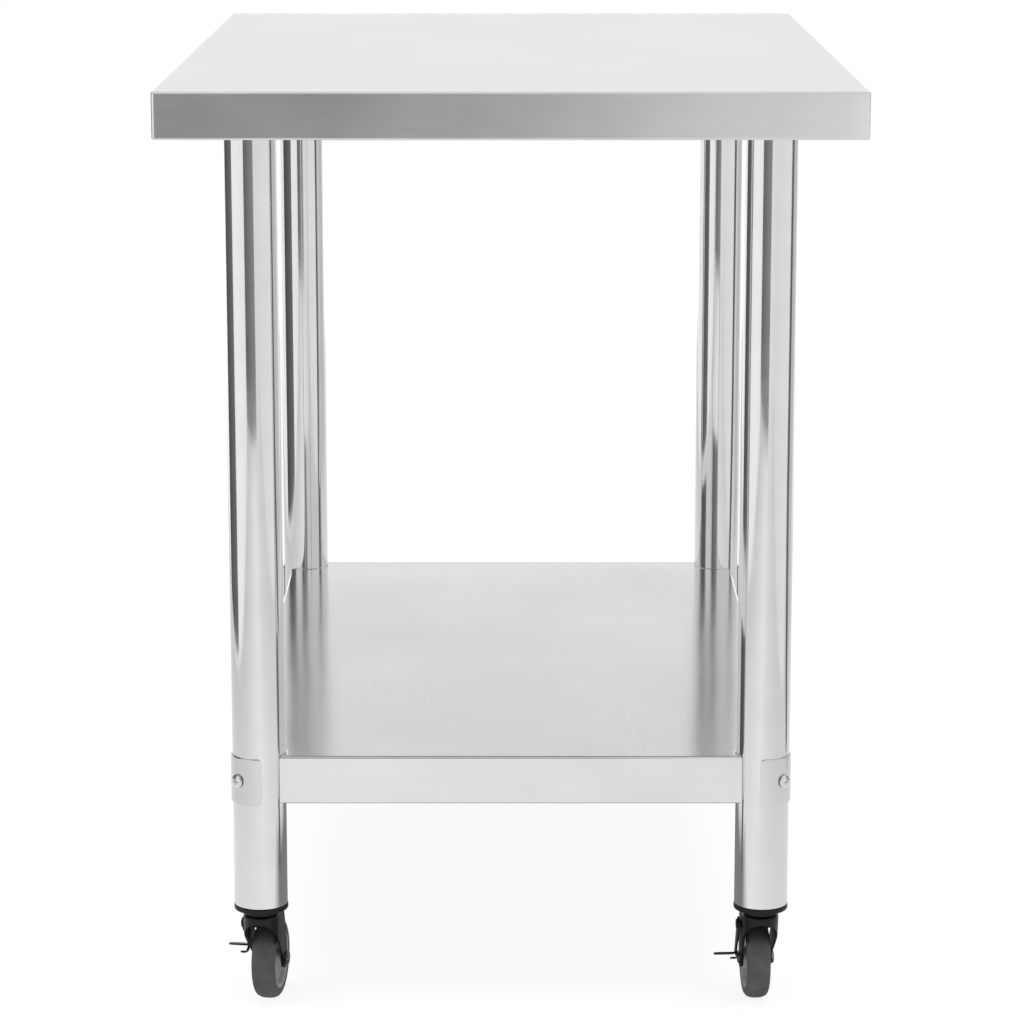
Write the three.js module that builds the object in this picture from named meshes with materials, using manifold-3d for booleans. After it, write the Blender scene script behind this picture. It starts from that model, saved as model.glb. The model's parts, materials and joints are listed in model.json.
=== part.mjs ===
// A stainless steel work table on casters: a folded worktop over a core board, four round legs,
// a folded undershelf clamped between the legs by saddle brackets, and four swivel casters,
// two of them with a foot brake.
// Millimetres. +Z up, the floor at z = 0, X across the table, Y along it, origin at the middle of the floor.
import * as THREE from "three";
import { mergeVertices } from "three/addons/utils/BufferGeometryUtils.js";
import Module from "manifold-3d";

const wasm = await Module();
wasm.setup();

// Worktop
const TOP_WIDTH = 610;
const TOP_LENGTH = 914;
const TOP_HEIGHT = 844;
const TOP_APRON = 41;
const TOP_HEM = 14;
const TOP_CORNER = 3;
const BOARD_THICK = 16;
const SHEET = 1.2;
const BEND = 1.5;

// Legs
const LEG_RADIUS = 24;
const LEG_WALL = 1.2;
const LEG_INSET = 78;
const LEG_BOTTOM = 101.6;

// Undershelf
const SHELF_TOP = 243;
const SHELF_APRON = 44;
const SHELF_HEM = 11;
const SHELF_OVERHANG = 15;

// Clamp at each shelf corner
const BRACKET_HEIGHT = 43;
const BRACKET_HALF_ANGLE = 53;
const BRACKET_CORNER = 3.5;
const SCREW_RADIUS = 3;
const SCREW_HEAD_RADIUS = 6.3;
const SCREW_HEAD_HEIGHT = 3.2;
const SCREW_HEAD_RIM = 1.1;
const SCREW_REACH = 9;
const CLAMP_NUT_RADIUS = 5.8;
const CLAMP_NUT_HEIGHT = 5;
const THREAD_CHAMFER = 0.8;

// Stiffening channels, a hat section
const CHANNEL_DEPTH = 18;
const CHANNEL_WIDTH = 34;
const CHANNEL_FLANGE = 14;
const TOP_CHANNEL_Y = 190;
const CHANNEL_END_GAP = 5;

// Leg sockets under the board
const SOCKET_FLANGE_RADIUS = 48;
const SOCKET_FLANGE_THICK = 2.5;
const SOCKET_WALL = 3;
const SOCKET_DEPTH = 23;

// Casters
const WHEEL_RADIUS = 37.5;
const TYRE_WIDTH = 22;
const TYRE_DEPTH = 9;
const TYRE_SHOULDER = 6.5;
const TRAIL = 34;
const AXLE_RADIUS = 4;
const AXLE_HEAD_RADIUS = 5.6;
const AXLE_HEAD_HEIGHT = 1.8;
const AXLE_HEAD_FLAT = 3.6;
const AXLE_HEAD_RIM = 1.0;
const AXLE_NUT_RADIUS = 6.2;
const AXLE_NUT_HEIGHT = 2.6;
const AXLE_END = 2.2;
const HUB_WIDTH = 23;
const HUB_BOSS_RADIUS = 9;
const HUB_WEB_RADIUS = 11;
const HUB_WEB_END = 22;
const HUB_WEB_HALF = 5;
const HUB_LIP_WIDTH = 3.5;
const HUB_LIP_HALF = 9.8;
const HUB_RIM_HALF = 10.6;
const FORK_SHEET = 2.4;
const CROWN_TOP = 91.6;
const CROWN_LIP = 85.7;
const CROWN_HALF_WIDTH = 16.6;
const FORK_HALF_WIDTH = 17.2;
const FORK_WIDEST_Z = 67;
const ANKLE_HALF_WIDTH = 14.3;
const ANKLE_Z = 46;
const FORK_BOSS = 9;
const FORK_BACK_Y = 19;
const FORK_SHOULDER_Y = 21;
const FORK_NOSE_RADIUS = 19;
const PLUG_RADIUS = 24.5;
const PLUG_FLANGE = 4.8;
const PLUG_CHAMFER = 1.2;
const PLUG_FIT = 0.6;
const PLUG_LEAD = 3;
const PLUG_DEPTH = 30;
const STEM_RADIUS = 5;
const STEM_CUP_RADIUS = 15;
const STEM_FOOT_RADIUS = 8;
const STEM_FOOT_HEIGHT = 2.8;
const STEM_FOOT_RIM = 1.6;
const STEM_CHAMFER = 1;

// Brake on the front casters
const BRAKE_PIVOT_Y = 10;
const BRAKE_PIVOT_Z = 78;
const BRAKE_SHAFT = 2.8;
const PEDAL_Y = 35.6;
const PEDAL_Z = 48.4;
const PEDAL_LENGTH = 10;
const PEDAL_REACH = 39;
const PEDAL_SLOPE = -12;
const RELEASE_Y = 21.6;
const RELEASE_Z = 45.4;
const RELEASE_LENGTH = 6;
const RELEASE_REACH = 5;
const ARM_ROOT_RADIUS = 6.5;
const ARM_END_RADIUS = 5;
const HEEL_RADIUS = 4;
const HEEL_END_RADIUS = 3;
const LEVER_SHEET = 1.6;
const LEVER_CLEARANCE = 0.5;
const SHOE_HALF_WIDTH = 11;
const SHOE_REACH = 9;
const SHOE_END = 3.2;
const SHOE_ROOT = 4.5;
const RIVET_RADIUS = 4.5;
const RIVET_HEIGHT = 1.3;
const BRAKE_TRAVEL = 13;

// Gap kept between pieces that touch in the real table
const GAP = 0.3;

// How far a cutting tool runs past the piece that it cuts
const BEYOND = 2;

// Sides of the round pieces
const LEG_SIDES = 24;
const SCOOP_SIDES = 14;
const BRACKET_SIDES = 14;
const SOCKET_SIDES = 20;
const PLUG_SIDES = 20;
const WHEEL_SIDES = 28;
const HUB_SIDES = 16;
const STEM_SIDES = 12;
const BOLT_SIDES = 12;
const HOLE_SIDES = 8;

const RADIANS = Math.PI / 180;
const LEG_X = TOP_WIDTH / 2 - LEG_INSET;
const LEG_Y = TOP_LENGTH / 2 - LEG_INSET;
const SHELF_X = LEG_X + SHELF_OVERHANG;
const SHELF_Y = LEG_Y + SHELF_OVERHANG;
const BOARD_TOP = TOP_HEIGHT - SHEET - GAP;
const BOARD_BOTTOM = BOARD_TOP - BOARD_THICK;
const SCREW_Z = SHELF_TOP - SHELF_APRON / 2;
const PLUG_BOTTOM = LEG_BOTTOM - GAP - PLUG_FLANGE;

const stainless = new THREE.MeshStandardMaterial({ color: 0xcfd1d2, roughness: 0.32, metalness: 1 });
const polished = new THREE.MeshStandardMaterial({ color: 0xdadcdd, roughness: 0.16, metalness: 1 });
const board = new THREE.MeshStandardMaterial({ color: 0xb9a98c, roughness: 0.8, metalness: 0 });
const zinc = new THREE.MeshStandardMaterial({ color: 0xb4b8bc, roughness: 0.4, metalness: 1 });
const blackPlastic = new THREE.MeshStandardMaterial({ color: 0x202022, roughness: 0.45, metalness: 0 });
const blackSteel = new THREE.MeshStandardMaterial({ color: 0x1a1a1c, roughness: 0.35, metalness: 0.4 });
const greyRubber = new THREE.MeshStandardMaterial({ color: 0x5a5a5c, roughness: 0.6, metalness: 0 });
const greyPlastic = new THREE.MeshStandardMaterial({ color: 0x8f9092, roughness: 0.5, metalness: 0 });

const table = new THREE.Group();

function add(parent, name, geometry, material) {
  const mesh = new THREE.Mesh(geometry, material);
  mesh.name = name;
  parent.add(mesh);
  return mesh;
}

// A geometry as a manifold solid, its shared vertices merged, turned outwards if its profile ran inwards.
function solid(geometry) {
  const bare = geometry.clone();
  bare.deleteAttribute("normal");
  bare.deleteAttribute("uv");
  const merged = mergeVertices(bare, 1e-4);
  const triVerts = new Uint32Array(merged.index.array);
  const vertProperties = new Float32Array(merged.attributes.position.array);
  const made = new wasm.Manifold(new wasm.Mesh({ numProp: 3, vertProperties, triVerts }));
  if (made.volume() > 0) return made;
  for (let i = 0; i < triVerts.length; i += 3) {
    [triVerts[i], triVerts[i + 1]] = [triVerts[i + 1], triVerts[i]];
  }
  return new wasm.Manifold(new wasm.Mesh({ numProp: 3, vertProperties, triVerts }));
}

function geometryOf(manifold) {
  const { vertProperties, triVerts } = manifold.getMesh();
  const geometry = new THREE.BufferGeometry();
  geometry.setAttribute("position", new THREE.BufferAttribute(new Float32Array(vertProperties), 3));
  geometry.setIndex(new THREE.BufferAttribute(new Uint32Array(triVerts), 1));
  geometry.computeVertexNormals();
  return geometry;
}

function cut(body, ...tools) {
  return geometryOf(tools.reduce((left, tool) => left.subtract(solid(tool)), solid(body)));
}

function join(body, ...others) {
  return geometryOf(others.reduce((sum, other) => sum.add(solid(other)), solid(body)));
}

function common(body, other) {
  return geometryOf(solid(body).intersect(solid(other)));
}

// A flat shape pulled up from one height to another. Each of its arcs has the number of sides given.
function prism(shape, low, high, sides = BOLT_SIDES) {
  const options = { depth: high - low, bevelEnabled: false, curveSegments: sides / 2 };
  return new THREE.ExtrudeGeometry(shape, options).translate(0, 0, low);
}

// A shape drawn in Y and Z, pulled across from one X to another.
function slab(shape, left, right, sides = BOLT_SIDES) {
  return prism(shape, left, right, sides).rotateZ(Math.PI / 2).rotateY(Math.PI / 2);
}

// A profile of [radius, height] pairs turned about the vertical.
function turned(profile, segments) {
  const points = profile.map(([radius, height]) => new THREE.Vector2(radius, height));
  return new THREE.LatheGeometry(points, segments).rotateX(Math.PI / 2);
}

// The same, turned about the X axis, with the pairs as [radius, x].
function turnedAcross(profile, segments) {
  return turned(profile, segments).rotateY(Math.PI / 2);
}

function block(x0, x1, y0, y1, z0, z1) {
  return new THREE.BoxGeometry(x1 - x0, y1 - y0, z1 - z0).translate((x0 + x1) / 2, (y0 + y1) / 2, (z0 + z1) / 2);
}

function circle(radius, y = 0, z = 0) {
  return new THREE.Shape().absarc(y, z, radius, 0, 2 * Math.PI);
}

function ring(outer, inner) {
  const shape = circle(outer);
  shape.holes.push(new THREE.Path().absarc(0, 0, inner, 0, 2 * Math.PI));
  return shape;
}

function roundedRectangle(halfX, halfY, radius) {
  const shape = new THREE.Shape();
  shape.absarc(halfX - radius, -halfY + radius, radius, -Math.PI / 2, 0);
  shape.absarc(halfX - radius, halfY - radius, radius, 0, Math.PI / 2);
  shape.absarc(-halfX + radius, halfY - radius, radius, Math.PI / 2, Math.PI);
  shape.absarc(-halfX + radius, -halfY + radius, radius, Math.PI, 1.5 * Math.PI);
  return shape;
}

// The outline of two unlike discs and the straight lines that touch both.
function link(y0, z0, radius0, y1, z1, radius1) {
  const along = Math.atan2(z1 - z0, y1 - y0);
  const lean = Math.acos((radius0 - radius1) / Math.hypot(y1 - y0, z1 - z0));
  const shape = new THREE.Shape();
  shape.absarc(y0, z0, radius0, along + lean, along - lean + 2 * Math.PI);
  shape.absarc(y1, z1, radius1, along - lean, along + lean);
  return shape;
}

// The shelf's outline: a rectangle whose corners are scooped out around the legs.
function scoopedRectangle(halfX, halfY, scoop) {
  const shape = new THREE.Shape();
  const alongX = Math.sqrt(scoop ** 2 - (halfY - LEG_Y) ** 2);
  const alongY = Math.sqrt(scoop ** 2 - (halfX - LEG_X) ** 2);
  for (const [sideX, sideY] of [[1, -1], [1, 1], [-1, 1], [-1, -1]]) {
    const onShort = Math.atan2(sideY * (halfY - LEG_Y), -sideX * alongX);
    const onLong = Math.atan2(-sideY * alongY, sideX * (halfX - LEG_X));
    const [from, to] = sideX * sideY < 0 ? [onShort, onLong] : [onLong, onShort];
    shape.absarc(sideX * LEG_X, sideY * LEG_Y, scoop, from, to, true);
  }
  return shape;
}

// The worktop skin: one sheet folded down all round, then in again as a hem, over an open underside.
function worktopSkin() {
  const halfX = TOP_WIDTH / 2;
  const halfY = TOP_LENGTH / 2;
  const bottom = TOP_HEIGHT - TOP_APRON;
  const outer = new THREE.ExtrudeGeometry(roundedRectangle(halfX - BEND, halfY - BEND, TOP_CORNER - BEND), {
    depth: TOP_APRON - 2 * BEND,
    bevelThickness: BEND,
    bevelSize: BEND,
    bevelSegments: 1,
    curveSegments: 1,
  }).translate(0, 0, bottom + BEND);
  const insideX = halfX - SHEET;
  const insideY = halfY - SHEET;
  const hollow = block(-insideX, insideX, -insideY, insideY, bottom + SHEET, TOP_HEIGHT - SHEET);
  const mouthX = halfX - TOP_HEM;
  const mouthY = halfY - TOP_HEM;
  return cut(outer, hollow, block(-mouthX, mouthX, -mouthY, mouthY, bottom - BEYOND, bottom + SHEET + BEYOND));
}

// A hat-section channel lying along X, its flanges against the face above it.
function channel(halfLength, top) {
  const half = CHANNEL_WIDTH / 2;
  const foot = half + CHANNEL_FLANGE;
  const shape = new THREE.Shape([
    new THREE.Vector2(-foot, top),
    new THREE.Vector2(-foot, top - SHEET),
    new THREE.Vector2(-half, top - SHEET),
    new THREE.Vector2(-half, top - CHANNEL_DEPTH),
    new THREE.Vector2(half, top - CHANNEL_DEPTH),
    new THREE.Vector2(half, top - SHEET),
    new THREE.Vector2(foot, top - SHEET),
    new THREE.Vector2(foot, top),
    new THREE.Vector2(half - SHEET, top),
    new THREE.Vector2(half - SHEET, top - CHANNEL_DEPTH + SHEET),
    new THREE.Vector2(-half + SHEET, top - CHANNEL_DEPTH + SHEET),
    new THREE.Vector2(-half + SHEET, top),
  ]);
  return slab(shape, -halfLength, halfLength);
}

// A flanged cup that is screwed to the board and takes the top of a leg.
function legSocket() {
  const top = BOARD_BOTTOM - GAP;
  const ceiling = top - SOCKET_FLANGE_THICK;
  const bottom = ceiling - SOCKET_DEPTH;
  const inner = LEG_RADIUS + GAP;
  const outer = inner + SOCKET_WALL;
  return turned(
    [
      [0, ceiling], [inner, ceiling], [inner, bottom], [outer, bottom],
      [outer, ceiling], [SOCKET_FLANGE_RADIUS, ceiling], [SOCKET_FLANGE_RADIUS, top], [0, top],
    ],
    SOCKET_SIDES,
  );
}

// A leg tube, drilled right through for the clamp screw, which lies along the corner's diagonal.
function legTube(diagonal) {
  const top = BOARD_BOTTOM - GAP - SOCKET_FLANGE_THICK - GAP;
  const tube = prism(ring(LEG_RADIUS, LEG_RADIUS - LEG_WALL), LEG_BOTTOM, top, LEG_SIDES);
  return cut(tube, screwHole(diagonal, -LEG_RADIUS - BEYOND, LEG_RADIUS + BEYOND));
}

// The hole for a clamp screw, from one distance out along the diagonal to another.
function screwHole(diagonal, from, to) {
  const hole = slab(circle(SCREW_RADIUS + 2 * GAP), from, to, HOLE_SIDES);
  return hole.rotateZ(diagonal).translate(0, 0, SCREW_Z);
}

// The undershelf: one sheet folded down all round, scooped at the legs, with a hem along its straight sides.
function undershelf() {
  const scoop = LEG_RADIUS + GAP;
  const bottom = SHELF_TOP - SHELF_APRON;
  const outer = prism(scoopedRectangle(SHELF_X, SHELF_Y, scoop), bottom, SHELF_TOP, SCOOP_SIDES);
  const within = scoopedRectangle(SHELF_X - SHEET, SHELF_Y - SHEET, scoop + SHEET);
  const hollow = prism(within, bottom + SHEET, SHELF_TOP - SHEET, SCOOP_SIDES);
  const opening = scoopedRectangle(SHELF_X - SHELF_HEM, SHELF_Y - SHELF_HEM, scoop + SHEET);
  const mouth = prism(opening, bottom - BEYOND, bottom + SHEET + BEYOND, SCOOP_SIDES);
  const holes = corners.map(({ x, y, diagonal }) =>
    screwHole(diagonal, -scoop - 2 * SHEET, -LEG_RADIUS + BEYOND).translate(x, y, 0),
  );
  return cut(outer, hollow, mouth, ...holes);
}

// A saddle bracket: a curved strap with rounded corners on the outside of a leg, drilled for its screw.
function saddleBracket(diagonal) {
  const inner = LEG_RADIUS + GAP;
  const half = BRACKET_HALF_ANGLE * RADIANS;
  const strap = new THREE.Shape();
  strap.absarc(0, 0, inner + SHEET, -half, half);
  strap.absarc(0, 0, inner, half, -half, true);
  const bottom = SCREW_Z - BRACKET_HEIGHT / 2;
  const body = prism(strap, bottom, bottom + BRACKET_HEIGHT, BRACKET_SIDES);
  const face = roundedRectangle((inner + SHEET) * Math.sin(half), BRACKET_HEIGHT / 2, BRACKET_CORNER);
  const window = slab(face, 0, inner + SHEET + BEYOND, 4).translate(0, 0, SCREW_Z);
  return cut(common(body, window).rotateZ(diagonal), screwHole(diagonal, 0, inner + SHEET + BEYOND));
}

// A clamp screw with a domed pan head, in from the bracket, through the leg and out into the shelf.
function clampScrew(diagonal) {
  const seat = LEG_RADIUS + 2 * GAP + SHEET;
  const tip = -seat - SCREW_REACH;
  const rise = SCREW_HEAD_HEIGHT - SCREW_HEAD_RIM;
  const profile = [
    [0, tip], [SCREW_RADIUS - THREAD_CHAMFER, tip], [SCREW_RADIUS, tip + THREAD_CHAMFER], [SCREW_RADIUS, seat],
    [SCREW_HEAD_RADIUS, seat], [SCREW_HEAD_RADIUS, seat + SCREW_HEAD_RIM],
    [SCREW_HEAD_RADIUS * Math.SQRT1_2, seat + SCREW_HEAD_RIM + rise * Math.SQRT1_2], [0, seat + SCREW_HEAD_HEIGHT],
  ];
  const screw = turnedAcross(profile, BOLT_SIDES);
  return screw.rotateZ(diagonal).translate(0, 0, SCREW_Z);
}

// A hexagon nut lying along X, from one X to another, bored with a clearance round its screw.
function hexagonNut(radius, screwRadius, left, right) {
  const corner = (side) => {
    const angle = (side * Math.PI) / 3;
    return new THREE.Vector2(radius * Math.cos(angle), radius * Math.sin(angle));
  };
  const hexagon = new THREE.Shape([0, 1, 2, 3, 4, 5].map(corner));
  hexagon.holes.push(new THREE.Path().absarc(0, 0, screwRadius + 2 * GAP, 0, 2 * Math.PI));
  return slab(hexagon, left, right, HOLE_SIDES);
}

// The nut on the inner end of a clamp screw, clear of the shelf's scooped wall.
function clampNut(diagonal) {
  const seat = -LEG_RADIUS - 2 * SHEET - 2 * GAP;
  const nut = hexagonNut(CLAMP_NUT_RADIUS, SCREW_RADIUS, seat - CLAMP_NUT_HEIGHT, seat);
  return nut.rotateZ(diagonal).translate(0, 0, SCREW_Z);
}

// The plastic plug in the foot of a leg, with a collar that covers the cut end of the tube.
function legPlug() {
  const sleeve = LEG_RADIUS - LEG_WALL - PLUG_FIT;
  const bore = STEM_RADIUS + GAP;
  const collarTop = PLUG_BOTTOM + PLUG_FLANGE;
  return turned(
    [
      [bore, PLUG_BOTTOM], [PLUG_RADIUS - PLUG_CHAMFER, PLUG_BOTTOM], [PLUG_RADIUS, PLUG_BOTTOM + PLUG_CHAMFER],
      [PLUG_RADIUS, collarTop], [sleeve, collarTop], [sleeve, collarTop + PLUG_DEPTH - PLUG_LEAD],
      [sleeve - PLUG_LEAD / 2, collarTop + PLUG_DEPTH], [bore, collarTop + PLUG_DEPTH], [bore, PLUG_BOTTOM],
    ],
    PLUG_SIDES,
  );
}

// The caster's stem: a shaft up into the plug, the bearing cup above the fork and the riveted foot below it.
function casterStem() {
  const cupTop = PLUG_BOTTOM - GAP;
  const cupBottom = CROWN_TOP + GAP;
  const footTop = CROWN_TOP - FORK_SHEET - GAP;
  return turned(
    [
      [0, footTop - STEM_FOOT_HEIGHT], [STEM_FOOT_RADIUS - STEM_CHAMFER, footTop - STEM_FOOT_HEIGHT],
      [STEM_FOOT_RADIUS, footTop - STEM_FOOT_RIM], [STEM_FOOT_RADIUS, footTop],
      [STEM_RADIUS, footTop], [STEM_RADIUS, cupBottom],
      [STEM_CUP_RADIUS, cupBottom], [STEM_CUP_RADIUS - STEM_CHAMFER, cupTop], [STEM_RADIUS, cupTop],
      [STEM_RADIUS, cupTop + PLUG_DEPTH], [STEM_RADIUS - STEM_CHAMFER, cupTop + PLUG_DEPTH + STEM_CHAMFER],
      [0, cupTop + PLUG_DEPTH + STEM_CHAMFER],
    ],
    STEM_SIDES,
  );
}

// A half disc ahead of the stem, carried straight back behind it.
function roundNose(radius) {
  const shape = new THREE.Shape().absarc(0, 0, radius, Math.PI, 2 * Math.PI);
  shape.lineTo(radius, TRAIL + 2 * FORK_BOSS);
  shape.lineTo(-radius, TRAIL + 2 * FORK_BOSS);
  return shape;
}

// The pressed fork: the front view's bent plates, cut to the side view's outline, under a round-nosed crown.
function casterFork(braked) {
  const outline = (inset) => [
    new THREE.Vector2(ANKLE_HALF_WIDTH - inset, 0),
    new THREE.Vector2(ANKLE_HALF_WIDTH - inset, ANKLE_Z),
    new THREE.Vector2(FORK_HALF_WIDTH - inset, FORK_WIDEST_Z),
    new THREE.Vector2(CROWN_HALF_WIDTH - inset, CROWN_LIP),
  ];
  const mirrored = (points) => points.map((point) => new THREE.Vector2(-point.x, point.y)).reverse();
  const outer = outline(0);
  outer.push(new THREE.Vector2(CROWN_HALF_WIDTH, CROWN_TOP));
  const inner = outline(FORK_SHEET);
  const front = new THREE.Shape([...outer, ...mirrored(outer), ...mirrored(inner).reverse(), ...inner.reverse()]);
  const arch = prism(front, -TRAIL - 2 * FORK_BOSS, 2 * FORK_NOSE_RADIUS).rotateX(Math.PI / 2);

  const side = new THREE.Shape();
  const wide = FORK_HALF_WIDTH + BEYOND;
  side.moveTo(-CROWN_HALF_WIDTH - 1, CROWN_TOP);
  side.lineTo(-CROWN_HALF_WIDTH - 1, CROWN_LIP);
  side.quadraticCurveTo(2, 67, TRAIL - 8.4, WHEEL_RADIUS + 3.2);
  side.absarc(TRAIL, WHEEL_RADIUS, FORK_BOSS, 160 * RADIANS, 372 * RADIANS);
  side.quadraticCurveTo(30, 66, FORK_SHOULDER_Y, CROWN_LIP);
  side.lineTo(FORK_BACK_Y, CROWN_TOP);
  let fork = common(arch, slab(side, -wide, wide, HOLE_SIDES));

  const tools = [
    prism(roundNose(CROWN_HALF_WIDTH - FORK_SHEET), CROWN_LIP - 1, CROWN_TOP - FORK_SHEET, BOLT_SIDES),
    prism(circle(STEM_RADIUS + 2 * GAP), CROWN_LIP, CROWN_TOP + BEYOND, BOLT_SIDES),
    slab(circle(AXLE_RADIUS + 2 * GAP, TRAIL, WHEEL_RADIUS), -wide, wide, HOLE_SIDES),
  ];
  if (braked) tools.push(slab(circle(BRAKE_SHAFT + 2 * GAP, BRAKE_PIVOT_Y, BRAKE_PIVOT_Z), -wide, 0, HOLE_SIDES));
  fork = common(fork, prism(roundNose(FORK_NOSE_RADIUS), 0, CROWN_TOP + BEYOND, BOLT_SIDES));
  return cut(fork, ...tools);
}

// The axle bolt, its low domed head on the left.
function axleBolt() {
  const seat = ANKLE_HALF_WIDTH + GAP;
  const head = -seat - AXLE_HEAD_HEIGHT;
  const profile = [
    [0, head], [AXLE_HEAD_FLAT, head], [AXLE_HEAD_RADIUS, -seat - AXLE_HEAD_RIM], [AXLE_HEAD_RADIUS, -seat],
    [AXLE_RADIUS, -seat], [AXLE_RADIUS, seat + AXLE_END],
    [AXLE_RADIUS - THREAD_CHAMFER, seat + AXLE_END + THREAD_CHAMFER], [0, seat + AXLE_END + THREAD_CHAMFER],
  ];
  return turnedAcross(profile, BOLT_SIDES).translate(0, TRAIL, WHEEL_RADIUS);
}

// The axle's lock nut, on the right.
function axleNut() {
  const seat = ANKLE_HALF_WIDTH + GAP;
  return hexagonNut(AXLE_NUT_RADIUS, AXLE_RADIUS, seat, seat + AXLE_NUT_HEIGHT).translate(0, TRAIL, WHEEL_RADIUS);
}

// The rubber tyre: a flat tread with round shoulders, moulded on the hub's rim.
// Its sides touch the true circle at their middles, and one of them lies flat on the floor.
function wheelTyre() {
  const half = TYRE_WIDTH / 2;
  const bore = WHEEL_RADIUS - TYRE_DEPTH;
  const tread = half - TYRE_SHOULDER;
  const halfSide = Math.PI / WHEEL_SIDES;
  const outwards = 1 / Math.cos(halfSide);
  const shoulder = (side) =>
    [0, 0.5, 1].map((part) => {
      const angle = (side < 0 ? part : 1 - part) * (Math.PI / 2);
      const radius = WHEEL_RADIUS - TYRE_SHOULDER * (1 - Math.sin(angle));
      return [radius * outwards, side * (tread + TYRE_SHOULDER * Math.cos(angle))];
    });
  const profile = [[bore, -half], ...shoulder(-1), ...shoulder(1), [bore, half], [bore, -half]];
  return turnedAcross(profile, WHEEL_SIDES).rotateX(halfSide).translate(0, TRAIL, WHEEL_RADIUS);
}

// The hub: a rim with a raised lip, a dished web and a boss bored for the axle.
function wheelHub() {
  const rim = WHEEL_RADIUS - TYRE_DEPTH - GAP;
  const bore = AXLE_RADIUS + GAP;
  const half = HUB_WIDTH / 2;
  const left = [
    [bore, -half], [HUB_BOSS_RADIUS, -half], [HUB_WEB_RADIUS, -HUB_WEB_HALF],
    [HUB_WEB_END, -HUB_WEB_HALF], [rim - HUB_LIP_WIDTH, -HUB_LIP_HALF], [rim, -HUB_RIM_HALF],
  ];
  const right = left.map(([radius, x]) => [radius, -x]).reverse();
  const profile = [...left, ...right, [bore, -half]];
  return turnedAcross(profile, HUB_SIDES).translate(0, TRAIL, WHEEL_RADIUS);
}

// The brake lever: an arm on the outside of the fork with a long foot tab and a short release tab, bent outwards.
function brakeLever() {
  const near = -FORK_HALF_WIDTH - LEVER_CLEARANCE;
  const far = near - LEVER_SHEET;
  const armOutline = link(BRAKE_PIVOT_Y, BRAKE_PIVOT_Z, ARM_ROOT_RADIUS, PEDAL_Y - 1, PEDAL_Z + 1, ARM_END_RADIUS);
  const arm = slab(armOutline, far, near, HOLE_SIDES);
  const heelOutline = link(PEDAL_Y - 2, PEDAL_Z, HEEL_RADIUS, RELEASE_Y, RELEASE_Z, HEEL_END_RADIUS);
  const heel = slab(heelOutline, far, near, HOLE_SIDES);
  const tab = block(-PEDAL_REACH, near, -PEDAL_LENGTH / 2, PEDAL_LENGTH / 2, -LEVER_SHEET / 2, LEVER_SHEET / 2);
  tab.rotateX(PEDAL_SLOPE * RADIANS).translate(0, PEDAL_Y, PEDAL_Z);
  const halfRelease = RELEASE_LENGTH / 2;
  const release = block(far - RELEASE_REACH, near, -halfRelease, halfRelease, -LEVER_SHEET / 2, LEVER_SHEET / 2);
  release.rotateX(PEDAL_SLOPE * RADIANS).translate(0, RELEASE_Y, RELEASE_Z);
  const clearance = circle(BRAKE_SHAFT + 2 * GAP, BRAKE_PIVOT_Y, BRAKE_PIVOT_Z);
  const hole = slab(clearance, far - BEYOND, near + BEYOND, HOLE_SIDES);
  return cut(join(arm, heel, tab, release), hole);
}

// The brake shoe: a cam over the tyre on a shaft that runs out through the fork and is riveted over the lever.
function brakeShoe() {
  const cam = slab(
    link(BRAKE_PIVOT_Y, BRAKE_PIVOT_Z, SHOE_ROOT, BRAKE_PIVOT_Y + SHOE_REACH, BRAKE_PIVOT_Z, SHOE_END),
    -SHOE_HALF_WIDTH,
    SHOE_HALF_WIDTH,
    HOLE_SIDES,
  );
  const leverFace = -FORK_HALF_WIDTH - LEVER_CLEARANCE - LEVER_SHEET - GAP;
  const rivetFace = leverFace - RIVET_HEIGHT;
  const shaft = slab(circle(BRAKE_SHAFT, BRAKE_PIVOT_Y, BRAKE_PIVOT_Z), rivetFace, 0, HOLE_SIDES);
  const rivet = slab(circle(RIVET_RADIUS, BRAKE_PIVOT_Y, BRAKE_PIVOT_Z), rivetFace, leverFace, HOLE_SIDES);
  return join(cam, shaft, rivet);
}

// The four corners. A caster's yaw is measured from trailing straight back. A locked brake is turned down.
const corners = [
  { name: "front_left", x: -LEG_X, y: -LEG_Y, yaw: -9, brake: "free" },
  { name: "front_right", x: LEG_X, y: -LEG_Y, yaw: 3.5, brake: "locked" },
  { name: "back_left", x: -LEG_X, y: LEG_Y, yaw: 4, brake: null },
  { name: "back_right", x: LEG_X, y: LEG_Y, yaw: -7, brake: null },
].map((corner) => ({ ...corner, diagonal: Math.atan2(Math.sign(corner.y), Math.sign(corner.x)) }));

add(table, "worktop", worktopSkin(), stainless);
add(
  table,
  "worktop_board",
  block(
    -TOP_WIDTH / 2 + SHEET + 2 * GAP,
    TOP_WIDTH / 2 - SHEET - 2 * GAP,
    -TOP_LENGTH / 2 + SHEET + 2 * GAP,
    TOP_LENGTH / 2 - SHEET - 2 * GAP,
    BOARD_BOTTOM,
    BOARD_TOP,
  ),
  board,
);
const topChannelHalf = TOP_WIDTH / 2 - TOP_HEM - CHANNEL_END_GAP;
for (const [end, y] of [["front", -TOP_CHANNEL_Y], ["back", TOP_CHANNEL_Y]]) {
  add(table, `worktop_channel_${end}`, channel(topChannelHalf, BOARD_BOTTOM - GAP).translate(0, y, 0), zinc);
}
add(table, "shelf", undershelf(), stainless);
add(table, "shelf_channel", channel(SHELF_X - SHELF_HEM - CHANNEL_END_GAP, SHELF_TOP - SHEET - GAP), zinc);

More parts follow.
